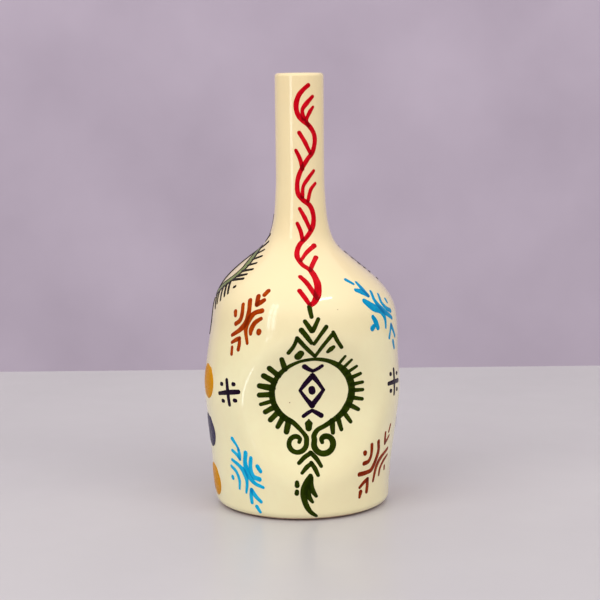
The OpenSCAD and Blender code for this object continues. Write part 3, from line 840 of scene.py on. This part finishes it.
# The dots of a side as (across, height).
OCHRE_SPOTS = [(2.0, 78), (0.0, 16.5)]
NAVY_SPOTS = [(-2.0, 47)]


def build_body():
    """The glazed vase, inside and out, and the bare clay of its foot."""
    verts, faces = turned(glaze_rows(), (0, 0, 2.3), (0, 0, FLOOR_Z))
    body = make_object("glazed_vase", verts, faces)
    body.data.materials.append(GLAZE)
    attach(body, "root")
    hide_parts("glaze_coat", "glaze_lining")
    verts, faces = turned(clay_rows(), (0, 0, RECESS_H), (0, 0, 2.8))
    foot = make_object("bare_clay_foot", verts, faces)
    foot.data.materials.append(CLAY)
    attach(foot, "root")
    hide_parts("clay_body")


def build_face(side, turn):
    """The painted drawing of one face."""
    jobs = [
        ("vine", vine_strokes(turn), RED, "red_enamel"),
        ("crown", crown_strokes(turn + MIDDLE_TURN), GREEN, "green_enamel"),
        ("medallion", medallion_strokes(turn + MIDDLE_TURN), GREEN, "green_enamel"),
        ("tail", tail_strokes(turn + TAIL_TURN), GREEN, "green_enamel"),
        ("sign", sign_strokes(turn + MIDDLE_TURN), PURPLE, "purple_enamel"),
        ("star_upper_left", star_strokes("star_upper_left", turn), BROWN, "brown_enamel"),
        # The upper right star's darker blue is painted shade, and the lower left star's paler blue is
        # painted light.
        ("star_upper_right", star_strokes("star_upper_right", turn), BLUE, "blue_enamel"),
        ("star_lower_left", star_strokes("star_lower_left", turn), LIT_BLUE, "blue_enamel"),
        # The lower right star's darker brown is painted shade.
        ("star_lower_right", star_strokes("star_lower_right", turn), SHADED_BROWN, "brown_enamel")]
    for name, view, centre, tilt in CROSSES:
        jobs.append((name, cross_strokes(turn + view, centre, tilt), PURPLE, "purple_enamel"))
    for name, strokes, material, slot in jobs:
        painted("paint_" + side + "_" + name, side + "_" + name, strokes, material)


def build_side(side, turn, flip, dots_turn):
    """The shoulder ring and the column of dots on one side."""
    jobs = [
        ("ring_band", band_strokes(turn, flip), OLIVE, "olive_enamel"),
        ("ring_outline", outline_strokes(turn, flip), BLACK, "black_enamel"),
        ("ochre_dots", dot_strokes(dots_turn, OCHRE_SPOTS), OCHRE, "ochre_enamel"),
        ("navy_dot", dot_strokes(dots_turn, NAVY_SPOTS), NAVY, "navy_enamel")]
    for name, strokes, material, slot in jobs:
        painted("paint_" + side + "_" + name, side + "_" + name, strokes, material)


build_body()
build_face("front", FACE_TURN)
build_face("back", FACE_TURN + 180)
for side_name, ring_turn, ring_flip, dots_at in SIDES:
    build_side(side_name, ring_turn, ring_flip, dots_at)


# ---- Floor, light and camera ----

def floor_material():
    material, tree, shader = new_material("pale_floor")
    cloud = spread(tree, noise(tree, 3, 4), 0.3, 0.7)
    colour = blend_colours(tree, cloud, linear(205, 202, 204), linear(193, 190, 193))
    tree.links.new(colour, shader.inputs["Base Color"])
    tree.links.new(spread(tree, noise(tree, 20, 3), 0.3, 0.7, 0.32, 0.42), shader.inputs["Roughness"])
    return material


def wall_material():
    material, tree, shader = new_material("pale_wall")
    cloud = spread(tree, noise(tree, 4, 4), 0.3, 0.7)
    colour = blend_colours(tree, cloud, linear(222, 207, 227), linear(207, 192, 212))
    tree.links.new(colour, shader.inputs["Base Color"])
    shader.inputs["Roughness"].default_value = 0.9
    return material


TABLE_BACK = 420         # the table top ends here, behind the vase
WALL_Y = 1700            # the wall stands this far back, so that the back of the vase can be seen too


def build_stage():
    """A table top, and a plain wall some way behind it."""
    w = 2400             # half the width of both
    low = -0.05          # just under the foot, so that no two faces share a place
    table = [(-w, -w, low), (w, -w, low), (w, TABLE_BACK, low), (-w, TABLE_BACK, low)]
    floor = make_object("stage_floor", table, [(0, 1, 2, 3)], False)
    floor.data.materials.append(floor_material())
    corners = [(-w, WALL_Y, -w), (w, WALL_Y, -w), (w, WALL_Y, w), (-w, WALL_Y, w)]
    wall = make_object("stage_wall", corners, [(0, 1, 2, 3)], False)
    wall.data.materials.append(wall_material())


def lamp_at(name, location, aim, size, power, colour):
    """A rectangular lamp at a place, which faces a point and which the camera doesn't see."""
    data = bpy.data.lights.new(name, "AREA")
    data.shape = "RECTANGLE"
    data.size, data.size_y = size
    data.energy = power
    data.color = colour
    lamp = bpy.data.objects.new(name, data)
    lamp.location = location
    lamp.rotation_mode = "QUATERNION"
    lamp.rotation_quaternion = (Vector(location) - Vector(aim)).to_track_quat("Z", "Y")
    lamp.visible_camera = False
    bpy.context.collection.objects.link(lamp)
    return lamp


def around(azimuth, elevation, distance, height=0.12):
    """A place seen from the vase in a direction; azimuth 0 is the camera's side."""
    a, e = math.radians(azimuth), math.radians(elevation)
    flat = distance * math.cos(e)
    return flat * math.sin(a), -flat * math.cos(a), height + distance * math.sin(e)


def build_world():
    """A dim room: brighter overhead than at eye level, so that the glaze mirrors little of it."""
    world = bpy.data.worlds.new("studio")
    world.use_nodes = True
    tree = world.node_tree
    coord = tree.nodes.new("ShaderNodeTexCoord")
    split = tree.nodes.new("ShaderNodeSeparateXYZ")
    tree.links.new(coord.outputs["Generated"], split.inputs[0])
    eye_level, overhead = 0.29, 0.94
    level = spread(tree, split.outputs["Z"], 0.05, 0.75, eye_level, overhead)
    background = tree.nodes["Background"]
    background.inputs["Color"].default_value = (1.0, 0.975, 0.965, 1.0)
    tree.links.new(level, background.inputs["Strength"])
    bpy.context.scene.world = world


# The lights' places and sizes are in metres.
WINDOW_TURN, WINDOW_DISTANCE = -39.0, 0.50
PANE_W, PANE_H, PANE_GAP = 0.037, 0.128, 0.012
WINDOW_LOW = 0.138
SKY, DAYLIGHT, WARM = (0.82, 0.93, 1.0), (0.9, 0.96, 1.0), (1.0, 0.985, 0.95)
SOFT_SIZE = (1.6, 1.2)


def window_pane(name, across, low, size, power, distance=WINDOW_DISTANCE):
    """An upright pane at a distance from the vase, which is seen only in gloss."""
    turn = math.radians(WINDOW_TURN)
    x = distance * math.sin(turn) + across * math.cos(turn)
    y = -distance * math.cos(turn) + across * math.sin(turn)
    z = low + size[1] / 2
    pane = lamp_at(name, (x, y, z), (0, 0, z), size, power, SKY)
    pane.visible_diffuse = False
    return pane


def build_window():
    """Two by three panes on the left, and a low strip that lights only the glaze."""
    for column in (-1, 1):
        for row in range(3):
            name = "pane_%d_%d" % (column, row)
            across = column * (PANE_W + PANE_GAP) / 2
            low = WINDOW_LOW + row * (PANE_H + PANE_GAP)
            window_pane(name, across, low, (PANE_W, PANE_H), 0.05)
    strip = window_pane("low_strip", 0, 0.004, (0.026, 0.036), 0.012, 0.26)
    lit = bpy.data.collections.new("lit_by_low_strip")
    lit.objects.link(bpy.data.objects["glazed_vase"])
    strip.light_linking.receiver_collection = lit


def build_lights():
    build_world()
    build_window()
    centre = (0, 0, 0.12)
    soft_left = lamp_at("soft_left", around(-46, 36, 2.2), centre, SOFT_SIZE, 19, WARM)
    soft_right = lamp_at("soft_right", around(40, 36, 2.4), centre, SOFT_SIZE, 17, WARM)
    for soft in (soft_left, soft_right):
        soft.visible_glossy = False
    glint = lamp_at("high_glint", around(46, 56, 1.5), centre, (0.40, 0.07), 1.1, DAYLIGHT)
    glint.visible_diffuse = False


EYE = (0, -0.968, 0.268)
LOOK_DOWN, ROLL = 8.54, -0.6    # in degrees
SENSOR, LENS = 36, 96.8         # in millimetres
SHIFT = (-0.0023, 0.0022)       # puts the vase where it should be in the frame


def build_camera():
    data = bpy.data.cameras.new("camera")
    data.sensor_width = SENSOR
    data.lens = LENS
    data.shift_x, data.shift_y = SHIFT
    camera = bpy.data.objects.new("camera", data)
    camera.location = EYE
    camera.rotation_mode = "QUATERNION"
    pitch = Quaternion((1, 0, 0), math.radians(90 - LOOK_DOWN))
    camera.rotation_quaternion = pitch @ Quaternion((0, 0, 1), math.radians(ROLL))
    bpy.context.collection.objects.link(camera)
    bpy.context.scene.camera = camera


build_stage()
build_lights()
build_camera()
bpy.context.scene.view_settings.view_transform = "Standard"
